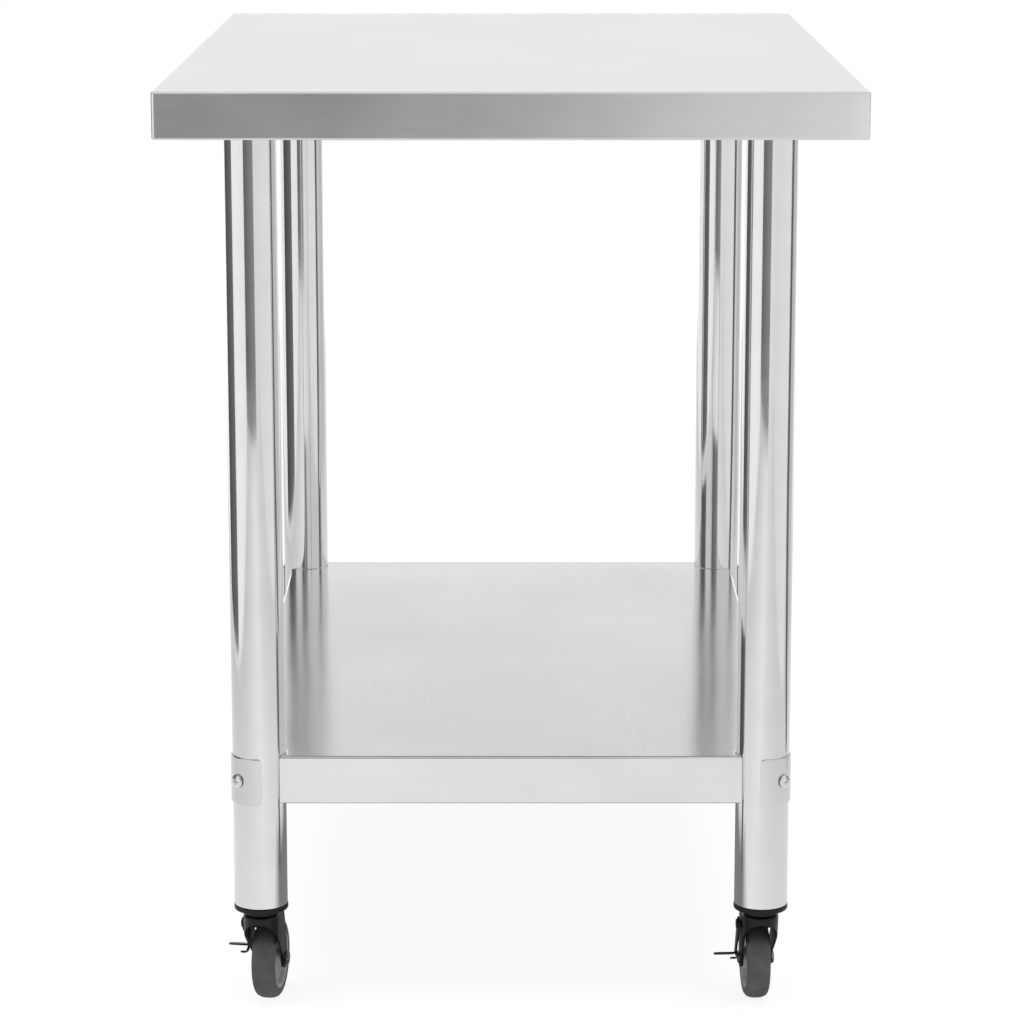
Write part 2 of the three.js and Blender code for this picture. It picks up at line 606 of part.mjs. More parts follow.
for (const { name, x, y, yaw, brake, diagonal } of corners) {
  const corner = new THREE.Group();
  corner.position.set(x, y, 0);
  table.add(corner);
  add(corner, `leg_socket_${name}`, legSocket(), zinc);
  add(corner, `leg_${name}`, legTube(diagonal), polished);
  add(corner, `shelf_bracket_${name}`, saddleBracket(diagonal), stainless);
  add(corner, `bracket_screw_${name}`, clampScrew(diagonal), zinc);
  add(corner, `bracket_nut_${name}`, clampNut(diagonal), zinc);
  add(corner, `caster_plug_${name}`, legPlug(), blackPlastic);
  add(corner, `caster_stem_${name}`, casterStem(), blackSteel);

  const caster = new THREE.Group();
  caster.rotation.z = yaw * RADIANS;
  corner.add(caster);
  add(caster, `caster_fork_${name}`, casterFork(brake !== null), blackSteel);
  add(caster, `caster_axle_${name}`, axleBolt(), zinc);
  add(caster, `caster_nut_${name}`, axleNut(), zinc);
  add(caster, `caster_hub_${name}`, wheelHub(), greyPlastic);
  add(caster, `caster_tyre_${name}`, wheelTyre(), greyRubber);
  if (brake === null) continue;

  // The brake turns about its shaft, so its group sits on the pivot and its pieces are drawn back from it.
  const brakeGroup = new THREE.Group();
  brakeGroup.position.set(0, BRAKE_PIVOT_Y, BRAKE_PIVOT_Z);
  brakeGroup.rotation.x = brake === "locked" ? -BRAKE_TRAVEL * RADIANS : 0;
  caster.add(brakeGroup);
  for (const [piece, geometry] of [["lever", brakeLever()], ["shoe", brakeShoe()]]) {
    geometry.translate(0, -BRAKE_PIVOT_Y, -BRAKE_PIVOT_Z);
    add(brakeGroup, `brake_${piece}_${name}`, geometry, blackSteel);
  }
}

export default table;
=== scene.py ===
"""A stainless steel work table on casters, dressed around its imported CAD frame.

Shapes are worked out in millimetres, in the frame's own axes: X across the table, Y along it, +Z up,
the floor at zero. Each piece is put into its mesh in metres.
"""

import json
import math

import bmesh
import bpy
import numpy as np
from mathutils import Matrix, Vector


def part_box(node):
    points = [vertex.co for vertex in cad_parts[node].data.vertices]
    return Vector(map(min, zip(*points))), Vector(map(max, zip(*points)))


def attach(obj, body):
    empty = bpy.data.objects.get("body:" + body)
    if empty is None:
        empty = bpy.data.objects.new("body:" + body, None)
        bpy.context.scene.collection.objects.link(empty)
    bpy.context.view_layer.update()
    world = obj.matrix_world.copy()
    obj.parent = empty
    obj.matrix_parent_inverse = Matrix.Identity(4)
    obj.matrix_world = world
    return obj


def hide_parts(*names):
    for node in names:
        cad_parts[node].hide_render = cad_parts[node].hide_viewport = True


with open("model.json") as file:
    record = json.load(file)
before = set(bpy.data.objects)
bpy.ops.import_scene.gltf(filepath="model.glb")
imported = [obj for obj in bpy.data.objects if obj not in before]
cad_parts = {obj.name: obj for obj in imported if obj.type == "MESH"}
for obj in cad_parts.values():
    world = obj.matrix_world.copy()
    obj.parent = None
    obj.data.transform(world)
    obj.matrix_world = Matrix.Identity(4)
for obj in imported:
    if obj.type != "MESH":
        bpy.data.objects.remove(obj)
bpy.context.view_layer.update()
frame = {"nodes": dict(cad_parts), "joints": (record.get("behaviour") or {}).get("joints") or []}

# Camera: a long lens on a tall stand, square to the short side and looking down on the worktop.
CAMERA_LENS = 126.0
CAMERA_PLACE = (0.001, -3.494, 1.1286)
CAMERA_PITCH = 12.04
camera = bpy.data.objects.new("camera", bpy.data.cameras.new("camera"))
camera.data.lens = CAMERA_LENS
camera.location = CAMERA_PLACE
camera.rotation_euler = (math.radians(90 - CAMERA_PITCH), 0, 0)
bpy.context.scene.collection.objects.link(camera)
bpy.context.scene.camera = camera
bpy.context.scene.view_settings.view_transform = "Standard"


# Room: white paper under the table and soft white walls. Black felt flags stand to the left, to the right and
# in front, hidden from the camera, and draw the dark lines that run down the polished tubes. They glow at a
# painted brightness instead of being lit, and only reflections see them.
def linear(colour):
    """An sRGB hex colour as linear light: a channel c turns to ((c + 0.055) / 1.055) ** 2.4."""
    channels = [int(colour[i : i + 2], 16) / 255 for i in (1, 3, 5)]
    return [c / 12.92 if c <= 0.04045 else ((c + 0.055) / 1.055) ** 2.4 for c in channels] + [1.0]


def node(tree, kind, inputs=None, stops=(), **settings):
    """Adds one node with its settings. An input takes a value, a socket, or a node for its first output.
    The stops are a colour ramp's, as (position, brightness or hex colour)."""
    made = tree.nodes.new(kind)
    for key, value in settings.items():
        setattr(made, key, value)
    for key, value in (inputs or {}).items():
        if isinstance(value, bpy.types.Node):
            value = value.outputs[0]
        if isinstance(value, bpy.types.NodeSocket):
            tree.links.new(value, made.inputs[key])
        else:
            made.inputs[key].default_value = value
    if stops:
        elements = made.color_ramp.elements
        while len(elements) < len(stops):
            elements.new(0.5)
        for element, (position, colour) in zip(elements, stops):
            element.position = position
            element.color = linear(colour) if isinstance(colour, str) else (colour, colour, colour, 1.0)
    return made


# The walls' brightness round the horizon by bearing in degrees: zero is towards the camera and it grows to
# the right. Looking up, they pass into the ceiling.
WALLS = [
    (-180, 1.5), (-150, 1.35), (-130, 1.0), (-60, 1.06), (-20, 0.98), (20, 0.86), (85, 0.92), (105, 0.6),
    (130, 0.64), (150, 1.25), (180, 1.5),
]
CEILING = 0.79
FILL = 0.55
world = bpy.data.worlds.new("studio")
world.use_nodes = True
bpy.context.scene.world = world
tree = world.node_tree
tree.nodes.clear()
parts = node(tree, "ShaderNodeSeparateXYZ", {0: node(tree, "ShaderNodeTexCoord").outputs["Generated"]})
towards = node(tree, "ShaderNodeMath", {0: parts.outputs["Y"], 1: -1.0}, operation="MULTIPLY")
bearing = node(tree, "ShaderNodeMath", {0: parts.outputs["X"], 1: towards}, operation="ARCTAN2")
turn = node(tree, "ShaderNodeMapRange", {0: bearing, 1: -math.pi, 2: math.pi})
wall_stops = [((angle + 180) / 360, light) for angle, light in WALLS]
walls = node(tree, "ShaderNodeValToRGB", {"Fac": turn}, wall_stops)
height = node(tree, "ShaderNodeMapRange", {0: parts.outputs["Z"], 1: 0.07, 2: 0.24})
ceiling_grey = (CEILING, CEILING, CEILING, 1)
mirrored = node(tree, "ShaderNodeMix", {0: height, 6: walls, 7: ceiling_grey}, data_type="RGBA")
path = node(tree, "ShaderNodeLightPath")
to_camera = node(tree, "ShaderNodeBackground", {"Color": (1, 1, 1, 1)})
to_matt = node(tree, "ShaderNodeBackground", {"Color": (1, 1, 1, 1), "Strength": FILL})
to_shiny = node(tree, "ShaderNodeBackground", {"Color": mirrored.outputs[2]})
lighting = node(tree, "ShaderNodeMixShader", {0: path.outputs["Is Glossy Ray"], 1: to_matt, 2: to_shiny})
studio = node(tree, "ShaderNodeMixShader", {0: path.outputs["Is Camera Ray"], 1: lighting, 2: to_camera})
node(tree, "ShaderNodeOutputWorld", {"Surface": studio})

# The paper glows a little, so that it stays white. What a mirror sees of it is painted light: a painted
# sheen, brighter in the middle than at its sides, and a painted shadow under the table.

PAPER_LEFT = -1.5
PAPER_RIGHT = 1.4
PAPER_FRONT = -3.4
PAPER_BACK = 3.4
PAPER_GLOW = 0.75
PAPER_LIGHT = 1.15
PAINTED_SHADE_UNDER_TABLE = 0.75
paper = bpy.data.materials.new("white_seamless_paper")
paper.use_nodes = True
tree = paper.node_tree
tree.nodes.clear()
matt = node(tree, "ShaderNodeBsdfDiffuse", {"Color": linear("#F4F4F4")})
glow = node(tree, "ShaderNodeEmission", {"Color": (1, 1, 1, 1), "Strength": PAPER_LIGHT})
face = node(tree, "ShaderNodeMixShader", {0: PAPER_GLOW, 1: matt, 2: glow})
place = node(tree, "ShaderNodeSeparateXYZ", {0: node(tree, "ShaderNodeTexCoord").outputs["Object"]})
share = node(tree, "ShaderNodeMapRange", {0: place, 1: PAPER_LEFT, 2: PAPER_RIGHT})
# Painted sheen: the paper's brightness in reflections, across its width.
SHEEN = [(0.0, 0.68), (0.3, 0.88), (0.5, 0.98), (0.68, 0.86), (1.0, 0.74)]
sheen = node(tree, "ShaderNodeValToRGB", {"Fac": share}, SHEEN)
# Painted shadow: in reflections the paper darkens by this share under the table, fading out past its edges.
shade = node(tree, "ShaderNodeMath", {0: 1.0, 1: PAINTED_SHADE_UNDER_TABLE}, operation="SUBTRACT")
for axis, (inside, outside) in (("X", (0.2, 0.4)), ("Y", (0.32, 0.56))):
    away = node(tree, "ShaderNodeMath", {0: place.outputs[axis]}, operation="ABSOLUTE")
    away = node(tree, "ShaderNodeMapRange", {0: away, 1: inside, 2: outside, 3: 0.0, 4: 1.0})
    shade = node(tree, "ShaderNodeMath", {0: shade, 1: away}, operation="MAXIMUM")
mirror_face = node(tree, "ShaderNodeEmission", {"Color": sheen, "Strength": shade})
path = node(tree, "ShaderNodeLightPath")
either = node(tree, "ShaderNodeMixShader", {0: path.outputs["Is Glossy Ray"], 1: face, 2: mirror_face})
node(tree, "ShaderNodeOutputMaterial", {"Surface": either})


def backdrop(name, corners, material):
    """A flat four-cornered stage piece."""
    mesh = bpy.data.meshes.new(name)
    mesh.from_pydata(corners, [], [(0, 1, 2, 3)])
    mesh.materials.append(material)
    piece = bpy.data.objects.new(name, mesh)
    bpy.context.scene.collection.objects.link(piece)
    return piece


backdrop("floor", [
    (PAPER_LEFT, PAPER_FRONT, 0), (PAPER_RIGHT, PAPER_FRONT, 0), (PAPER_RIGHT, PAPER_BACK, 0),
    (PAPER_LEFT, PAPER_BACK, 0),
], paper)

# Each flag: name, its painted glow at its two ends, the ends of its foot, and its lowest and highest edge.
# The runner lies on the paper from the right flag's foot, with that flag's painted glow.
FLAGS = [
    ("left", (0.18, 0.07), (-1.43, -0.55), (-1.43, 0.65), 0.04, 2.2),
    ("ahead", (0.13, 0.3), (-1.08, -2.13), (0.22, -2.13), 0.2, 1.7),
    ("right", (0.14, 0.14), (2.5, -0.28), (2.5, 0.28), 0.0, 2.0),
]
RUNNER = [(1.0, -0.02, 0.001), (2.5, -0.28, 0.001), (2.5, 0.28, 0.001), (1.0, 0.13, 0.001)]
flags = []
for name, brightness, start, end, low, high in FLAGS:
    felt = bpy.data.materials.new("black_felt_" + name)
    felt.use_nodes = True
    tree = felt.node_tree
    tree.nodes.clear()
    place = node(tree, "ShaderNodeSeparateXYZ", {0: node(tree, "ShaderNodeTexCoord").outputs["Object"]})
    axis = 0 if start[0] != end[0] else 1
    # Painted glow: the felt's brightness, graded from one end of the flag to the other.
    strength = node(tree, "ShaderNodeMapRange", {
        0: place.outputs[axis], 1: start[axis], 2: end[axis], 3: brightness[0], 4: brightness[1],
    })
    glow = node(tree, "ShaderNodeEmission", {"Color": (1, 1, 1, 1), "Strength": strength})
    node(tree, "ShaderNodeOutputMaterial", {"Surface": glow})
    corners = [(*start, low), (*end, low), (*end, high), (*start, high)]
    flags.append(backdrop("flag_" + name, corners, felt))
flags.append(backdrop("flag_runner", RUNNER, felt))
for flag in flags:
    flag.visible_camera = False
    flag.visible_diffuse = False
    flag.visible_shadow = False

# Each lamp is a wide square panel that faces the table: name, place, width and watts.
LAMPS = [
    ("overhead", (0, -0.3, 2.9), 2.2, 40),
    ("left", (-2.4, -1.6, 1.5), 1.3, 9),
    ("right", (2.4, -1.8, 1.4), 1.3, 8),
]
LAMP_AIM = Vector((0, 0, 0.4))
for name, place, width, watts in LAMPS:
    lamp = bpy.data.objects.new("lamp_" + name, bpy.data.lights.new("lamp_" + name, "AREA"))
    lamp.data.size = width
    lamp.data.energy = watts
    lamp.location = place
    lamp.rotation_euler = (LAMP_AIM - lamp.location).to_track_quat("-Z", "Y").to_euler()
    lamp.visible_glossy = False
    bpy.context.scene.collection.objects.link(lamp)

# Worktop: a sheet of 1.2 mm stainless steel, folded down all round on a press brake and in again as a hem.
# Its corners are welded and ground, and the face keeps a fine brushed grain along its length.
MM = 0.001
SHEET = 1.2
TOP_FOLD = 2.2
HEM_FOLD = 1.7
TOP_HEM = 14
TOP_CORNER = 3


def box_mm(name):
    """The lowest and highest corner of a CAD node, in millimetres."""
    return [np.array(corner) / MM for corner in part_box(name)]


def rounded(corners, steps=5, hold=0.3):
    """A line through (a, b, radius) corners, each turned as an arc of its radius that touches both sides. A
    point is held just outside each end of an arc, so that the flat beside it is shaded flat."""
    corners = np.array(corners, float)
    points = corners[:, :2]
    made = [points[:1]]
    for before, here, after, radius in zip(points[:-2], points[1:-1], points[2:], corners[1:-1, 2]):
        back = (before - here) / np.linalg.norm(before - here)
        ahead = (after - here) / np.linalg.norm(after - here)
        half = math.acos(np.clip(back @ ahead, -1, 1)) / 2
        if radius == 0 or half > math.pi / 2 - 1e-6:
            made.append(here[None])
            continue
        centre = here + (back + ahead) / np.linalg.norm(back + ahead) * radius / math.sin(half)
        start, end = (here + side * radius / math.tan(half) - centre for side in (back, ahead))
        first = math.atan2(start[1], start[0])
        sweep = (math.atan2(end[1], end[0]) - first + math.pi) % (2 * math.pi) - math.pi
        angle = first + sweep * np.linspace(0, 1, steps + 1)
        bend = centre + radius * np.stack([np.cos(angle), np.sin(angle)], -1)
        made.append(bend[:1] + back * min(hold, np.linalg.norm(before - bend[0]) / 6))
        made.append(bend)
        made.append(bend[-1:] + ahead * min(hold, np.linalg.norm(after - bend[-1]) / 6))
    return np.concatenate(made + [points[-1:]])


def arc(centre, radius, start, end, steps):
    """Points round a centre from one angle to another, in degrees."""
    angle = np.radians(np.linspace(start, end, steps + 1))
    return np.array(centre) + radius * np.stack([np.cos(angle), np.sin(angle)], -1)


def ring(arcs, side_steps):
    """A closed outline: each arc in turn, joined to the next by a straight side cut into equal steps."""
    made = []
    for here, after, steps in zip(arcs, arcs[1:] + arcs[:1], side_steps):
        share = np.linspace(0, 1, steps + 1)[1:-1, None]
        made += [here, here[-1] + share * (after[0] - here[-1])]
    return np.concatenate(made + [arcs[0][:1]])


def rounded_rectangle(half_x, half_y, radius, side_steps, corner_steps=6):
    """A rectangle's ring with round corners, anticlockwise from its front right corner."""
    x, y = half_x - radius, half_y - radius
    centres = [(x, -y, -90), (x, y, 0), (-x, y, 90), (-x, -y, 180)]
    return ring([arc((a, b), radius, start, start + 90, corner_steps) for a, b, start in centres], side_steps)


def spread(outline, steps):
    """The flat inside a ring: each point goes straight to the nearest point of the ring's middle line."""
    reach = np.abs(outline).max(0)
    middle_half = max(reach[1] - reach[0], 0.0)
    middle = np.stack([np.zeros(len(outline)), np.clip(outline[:, 1], -middle_half, middle_half)], -1)
    return outline + np.linspace(0, 1, steps + 1)[:, None, None] * (middle - outline)


def raised(flat, height):
    """Points of a plane lifted to a height."""
    return np.concatenate([flat, np.broadcast_to(height, flat.shape[:-1])[..., None]], -1)


def folded(outline, line, steps, wave=None):
    """A closed sheet: an (inset, height) line carried round an outline, with a flat at each of its ends.
    The outline is a function of the inset, and the wave a height that comes in from the edge."""
    made = [np.stack([raised(outline(inset), height) for inset, height in line])]
    for inset, height in (line[0], line[-1]):
        flat = spread(outline(inset), steps)
        if wave is not None:
            inwards = np.clip(np.linspace(0, 1, steps + 1) / 0.25, 0, 1)[:, None]
            height = height + wave(flat[..., 0], flat[..., 1]) * inwards**2 * (3 - 2 * inwards)
        made.append(raised(flat, height))
    return made


def make(name, patches, material, body, replaced=(), sharp=40):
    """A piece from patches of points in millimetres: each row of a patch is joined to the next, points in
    the same place are merged, and the faces are turned outwards."""
    points, faces, count = [], [], 0
    for patch in patches:
        rows, columns = patch.shape[:2]
        index = count + np.arange(rows * columns).reshape(rows, columns)
        quads = [index[:-1, :-1], index[1:, :-1], index[1:, 1:], index[:-1, 1:]]
        faces.append(np.stack(quads, -1).reshape(-1, 4))
        points.append(patch.reshape(-1, 3))
        count += rows * columns
    mesh = bpy.data.meshes.new(name)
    mesh.from_pydata(np.concatenate(points) * MM, [], np.concatenate(faces).tolist())
    work = bmesh.new()
    work.from_mesh(mesh)
    bmesh.ops.remove_doubles(work, verts=work.verts, dist=2e-6)
    bmesh.ops.dissolve_degenerate(work, edges=work.edges, dist=1e-7)
    bmesh.ops.recalc_face_normals(work, faces=work.faces)
    work.to_mesh(mesh)
    work.free()
    mesh.shade_smooth()
    mesh.set_sharp_from_angle(angle=math.radians(sharp))
    mesh.materials.append(material)
    piece = bpy.data.objects.new(name, mesh)
    bpy.context.scene.collection.objects.link(piece)
    if body:
        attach(piece, body)
    if replaced:
        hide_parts(*replaced)
    return piece


def surface(name, metallic=0.0, **settings):
    """A material with one Principled shader. Returns it with its tree, its shader and Object coordinates."""
    made = bpy.data.materials.new(name)
    made.use_nodes = True
    tree = made.node_tree
    tree.nodes.clear()
    inputs = {key.replace("_", " "): value for key, value in settings.items()}
    shader = node(tree, "ShaderNodeBsdfPrincipled", {"Metallic": metallic, **inputs})
    node(tree, "ShaderNodeOutputMaterial", {"Surface": shader})
    return made, tree, shader, node(tree, "ShaderNodeTexCoord").outputs["Object"]


def grain_scale(size, stretch=(1, 1, 1)):
    """A Mapping node's scale for a pattern whose grains are a size in millimetres, stretched by factors."""
    return [1 / (size * MM * factor) for factor in stretch]


def dress(tree, shader, **sources):
    """Links patterns to a shader's sockets: Base_Color, Roughness, Normal."""
    for socket, source in sources.items():
        tree.links.new(source.outputs[0], shader.inputs[socket.replace("_", " ")])


def finish(name, colours, roughness, patch, grain, depth, metallic=0.0, stretch=(1, 1, 1), **settings):
    """A material whose colour and roughness wander between two values from patch to patch, under a fine
    relief. The patch, the grain of the relief and its depth are millimetres."""
    made, tree, shader, place = surface(name, metallic, **settings)
    patches = node(tree, "ShaderNodeMapping", {"Vector": place, "Scale": grain_scale(patch)})
    patches = node(tree, "ShaderNodeTexNoise", {"Vector": patches, "Scale": 1.0, "Detail": 3.0})
    relief = node(tree, "ShaderNodeMapping", {"Vector": place, "Scale": grain_scale(grain, stretch)})
    relief = node(tree, "ShaderNodeTexNoise", {"Vector": relief, "Scale": 1.0, "Detail": 3.0})
    colour = node(tree, "ShaderNodeValToRGB", {"Fac": patches}, [(0.3, colours[0]), (0.7, colours[1])])
    rough = node(tree, "ShaderNodeMapRange", {0: patches, 1: 0.3, 2: 0.7, 3: roughness[0], 4: roughness[1]})
    bump = node(tree, "ShaderNodeBump", {"Strength": 1.0, "Distance": depth * MM, "Height": relief})
    dress(tree, shader, Base_Color=colour, Roughness=rough, Normal=bump)
    return made


def brushed_sheet(name, colours, roughness):
    """304 stainless sheet with a number 4 brushed face: soft, wide reflections with a faint grain along
    the sheet, and slow clouds where the belt bore harder. The grain is drawn at 0.7 mm to show."""
    made, tree, shader, place = surface(name, 1.0)
    normal = node(tree, "ShaderNodeSeparateXYZ", {0: node(tree, "ShaderNodeNewGeometry").outputs["Normal"]})
    facing = node(tree, "ShaderNodeMath", {0: normal.outputs["Y"]}, operation="ABSOLUTE")
    on_ends = node(tree, "ShaderNodeMath", {0: facing, 1: 0.5}, operation="GREATER_THAN")
    grains = []
    for stretch in ((1, 80, 1), (80, 1, 1)):
        grain = node(tree, "ShaderNodeMapping", {"Vector": place, "Scale": grain_scale(0.7, stretch)})
        grains.append(node(tree, "ShaderNodeTexNoise", {"Vector": grain, "Scale": 1.0, "Detail": 3.0}))
    grain = node(tree, "ShaderNodeMix", {0: on_ends, 2: grains[0], 3: grains[1]}, data_type="FLOAT")
    clouds = node(tree, "ShaderNodeMapping", {"Vector": place, "Scale": grain_scale(130, (1, 1.6, 0.7))})
    clouds = node(tree, "ShaderNodeTexNoise", {"Vector": clouds, "Scale": 1.0, "Detail": 2.0})
    together = node(tree, "ShaderNodeMix", {0: 0.4, 2: clouds, 3: grain}, data_type="FLOAT")
    colour = node(tree, "ShaderNodeValToRGB", {"Fac": together}, [(0.4, colours[0]), (0.6, colours[1])])
    rough = node(tree, "ShaderNodeMapRange", {0: together, 1: 0.3, 2: 0.7, 3: roughness[0], 4: roughness[1]})
    bump = node(tree, "ShaderNodeBump", {"Strength": 1.0, "Distance": 0.008 * MM, "Height": grain})
    dress(tree, shader, Base_Color=colour, Roughness=rough, Normal=bump)
    return made


brushed_steel = brushed_sheet("brushed_stainless_sheet", ("#E4E4E4", "#EDEDED"), (0.28, 0.36))
top_low, top_high = box_mm("worktop")


def worktop_outline(inset):
    """The worktop's ring at a distance in from its edge."""
    half_x, half_y = top_high[:2] - inset
    return rounded_rectangle(half_x, half_y, max(TOP_CORNER - inset, 0.0), (60, 40, 60, 40))


def worktop_wave(x, y):
    """The face's slight unevenness over its board, a tenth of a millimetre of crossing slow waves."""
    return 0.06 * np.sin(x / 71 + 0.4) * np.cos(y / 96) + 0.04 * np.sin((x + 1.3 * y) / 58)


worktop_line = rounded([
    (8, top_high[2], 0), (0, top_high[2], TOP_FOLD), (0, top_low[2], HEM_FOLD), (TOP_HEM, top_low[2], 0),
    (TOP_HEM, top_low[2] + SHEET, 0), (SHEET, top_low[2] + SHEET, HEM_FOLD - SHEET),
    (SHEET, top_high[2] - SHEET, TOP_FOLD - SHEET), (8, top_high[2] - SHEET, 0),
])
make(
    "worktop_skin", folded(worktop_outline, worktop_line, 60, worktop_wave), brushed_steel,
    "table", ["worktop"],
)

# Core board: 16 mm particle board that deadens and stiffens the worktop, glued under the sheet.
# Pale pressed chips show on its underside.
core_board, tree, shader, place = surface("raw_particle_board", Roughness=0.85)
chips = node(tree, "ShaderNodeTexVoronoi", {"Vector": place, "Scale": 1 / (5 * MM)}).outputs["Color"]
chips = node(tree, "ShaderNodeSeparateColor", {0: chips})
fibres = node(tree, "ShaderNodeMapping", {"Vector": place, "Scale": grain_scale(1.4, (1, 4, 1))})
fibres = node(tree, "ShaderNodeTexNoise", {"Vector": fibres, "Scale": 1.0, "Detail": 4.0})
chips = node(tree, "ShaderNodeMix", {0: 0.45, 2: chips, 3: fibres}, data_type="FLOAT")
chip_tones = [(0.15, "#836B4A"), (0.5, "#A89272"), (0.85, "#C2B08E")]
tone = node(tree, "ShaderNodeValToRGB", {"Fac": chips}, chip_tones)
bump = node(tree, "ShaderNodeBump", {"Strength": 1.0, "Distance": 0.15 * MM, "Height": chips})
dress(tree, shader, Base_Color=tone, Normal=bump)
frame["nodes"]["worktop_board"].data.materials.clear()
frame["nodes"]["worktop_board"].data.materials.append(core_board)

# Stiffening channels: hat sections of zinc-coated sheet, roll-formed, with their flanges against the board
# or the shelf above them. Two cross the worktop and one crosses the shelf.
CHANNEL_BEND = 2.4
CHANNEL_FLANGE = 14
zinc_steel, tree, shader, place = surface("zinc_coated_sheet", 1.0)
spangle = node(tree, "ShaderNodeTexVoronoi", {"Vector": place, "Scale": 1 / (9 * MM)}).outputs["Color"]
spangle = node(tree, "ShaderNodeSeparateColor", {0: spangle})
tone = node(tree, "ShaderNodeValToRGB", {"Fac": spangle}, [(0.0, "#A4A8AC"), (1.0, "#BEC2C5")])
rough = node(tree, "ShaderNodeMapRange", {0: spangle, 3: 0.32, 4: 0.46})
pits = node(tree, "ShaderNodeTexNoise", {"Vector": place, "Scale": 1 / (3 * MM), "Detail": 3.0})
bump = node(tree, "ShaderNodeBump", {"Strength": 1.0, "Distance": 0.02 * MM, "Height": pits})
dress(tree, shader, Base_Color=tone, Roughness=rough, Normal=bump)


def sheet_from(piece, thickness, offset, edge=0.25):
    """Gives an open surface its thickness and eases its cut edges."""
    wall = piece.modifiers.new("thickness", "SOLIDIFY")
    wall.thickness = thickness * MM
    wall.offset = offset
    wall.use_even_offset = True
    ease = piece.modifiers.new("eased_edges", "BEVEL")
    ease.width = edge * MM
    ease.segments = 2
    ease.limit_method = "ANGLE"
    ease.angle_limit = math.radians(50)


def bake(piece, sharp=40):
    """Applies a piece's modifiers to its mesh."""
    bpy.context.view_layer.update()
    shown = piece.evaluated_get(bpy.context.evaluated_depsgraph_get())
    mesh = bpy.data.meshes.new_from_object(shown)
    piece.modifiers.clear()
    piece.data = mesh
    mesh.shade_smooth()
    mesh.set_sharp_from_angle(angle=math.radians(sharp))


for name in ("worktop_channel_front", "worktop_channel_back", "shelf_channel"):
    low, high = box_mm(name)
    middle = (low[1] + high[1]) / 2
    foot = (high[1] - low[1]) / 2
    half = foot - CHANNEL_FLANGE
    section = rounded([
        (middle - foot, high[2], 0), (middle - half, high[2], CHANNEL_BEND),
        (middle - half, low[2] + SHEET, CHANNEL_BEND), (middle + half, low[2] + SHEET, CHANNEL_BEND),
        (middle + half, high[2], CHANNEL_BEND), (middle + foot, high[2], 0),
    ])
    lengths = np.linspace(low[0], high[0], 25)
    strip = np.stack([np.insert(section, 0, x, axis=1) for x in lengths])
    channel = make(name + "_pressed", [strip], zinc_steel, "table", [name])
    up = np.mean([face.normal.z for face in channel.data.polygons if abs(face.normal.z) > 0.9]) > 0
    sheet_from(channel, SHEET, -1 if up else 1)
    bake(channel)

# Legs: 48 mm stainless tube with a bright polished face, sawn square and drilled right through for the
# clamp screws. Each stands in a flanged cup that is screwed up into the board.
LEG_WALL = 1.2
LEG_SIDES = 128
GAP = 0.3
SOCKET_FLANGE = 2.5
SOCKET_WALL = 3
CORNERS = ("front_left", "front_right", "back_left", "back_right")
polished_tube = finish(
    "polished_stainless_tube", ("#E0E0E0", "#E6E6E6"), (0.06, 0.12), 40, 2.5, 0.003, 1.0, (1, 1, 200),
)


def turned(profile, sides=72):
    """A (radius, height) profile carried round the vertical."""
    angle = np.linspace(0, 2 * math.pi, sides + 1)
    radius, height = profile[:, :1], profile[:, 1:2]
    return np.stack([radius * np.cos(angle), radius * np.sin(angle), height + 0 * angle], -1)


def across(patch):
    """A shape about the vertical laid over to be about X, its top towards +X."""
    return np.roll(patch, 1, axis=-1)


def rotate(patch, degrees, axis, about=(0, 0, 0)):
    """A shape turned about an axis through a point."""
    matrix = np.array(Matrix.Rotation(math.radians(degrees), 3, axis))
    return (patch - about) @ matrix.T + about


def cutter(patches):
    """A closed tool for drilling, which isn't shown."""
    return make("tool", patches, polished_tube, None)


def combine(piece, tools, operation):
    """Cuts closed tools out of a piece, or joins them to it, and throws them away."""
    for tool in tools:
        step = piece.modifiers.new("combine", "BOOLEAN")
        step.operation = operation
        step.solver = "MANIFOLD"
        step.object = tool
    bake(piece)
    for tool in tools:
        bpy.data.objects.remove(tool)


def rod(radius, start, end, sides=32):
    """A plain closed cylinder about the vertical between two heights."""
    return turned(np.array([(0, start), (radius, start), (radius, end), (0, end)], float), sides)


corner_of = {}
for corner in CORNERS:
    low, high = box_mm("leg_" + corner)
    x, y = (low + high)[:2] / 2
    corner_of[corner] = np.array([x, y, 0])
leg_low, leg_high = box_mm("leg_front_left")
leg_radius = (leg_high - leg_low)[0] / 2
bracket_low, bracket_high = box_mm("shelf_bracket_front_left")
screw_z = (bracket_low + bracket_high)[2] / 2
SCREW_RADIUS = 3
SCREW_HOLE = 3.6


def diagonal(corner):
    """The bearing from the table's middle to a corner, along 45 degrees."""
    x, y, _ = corner_of[corner]
    return math.degrees(math.atan2(np.sign(y), np.sign(x)))


def at_clamp(patch, corner):
    """A shape about X, moved to the clamp screw's line at a corner, outwards along the diagonal."""
    return rotate(patch, diagonal(corner), "Z") + corner_of[corner] + (0, 0, screw_z)


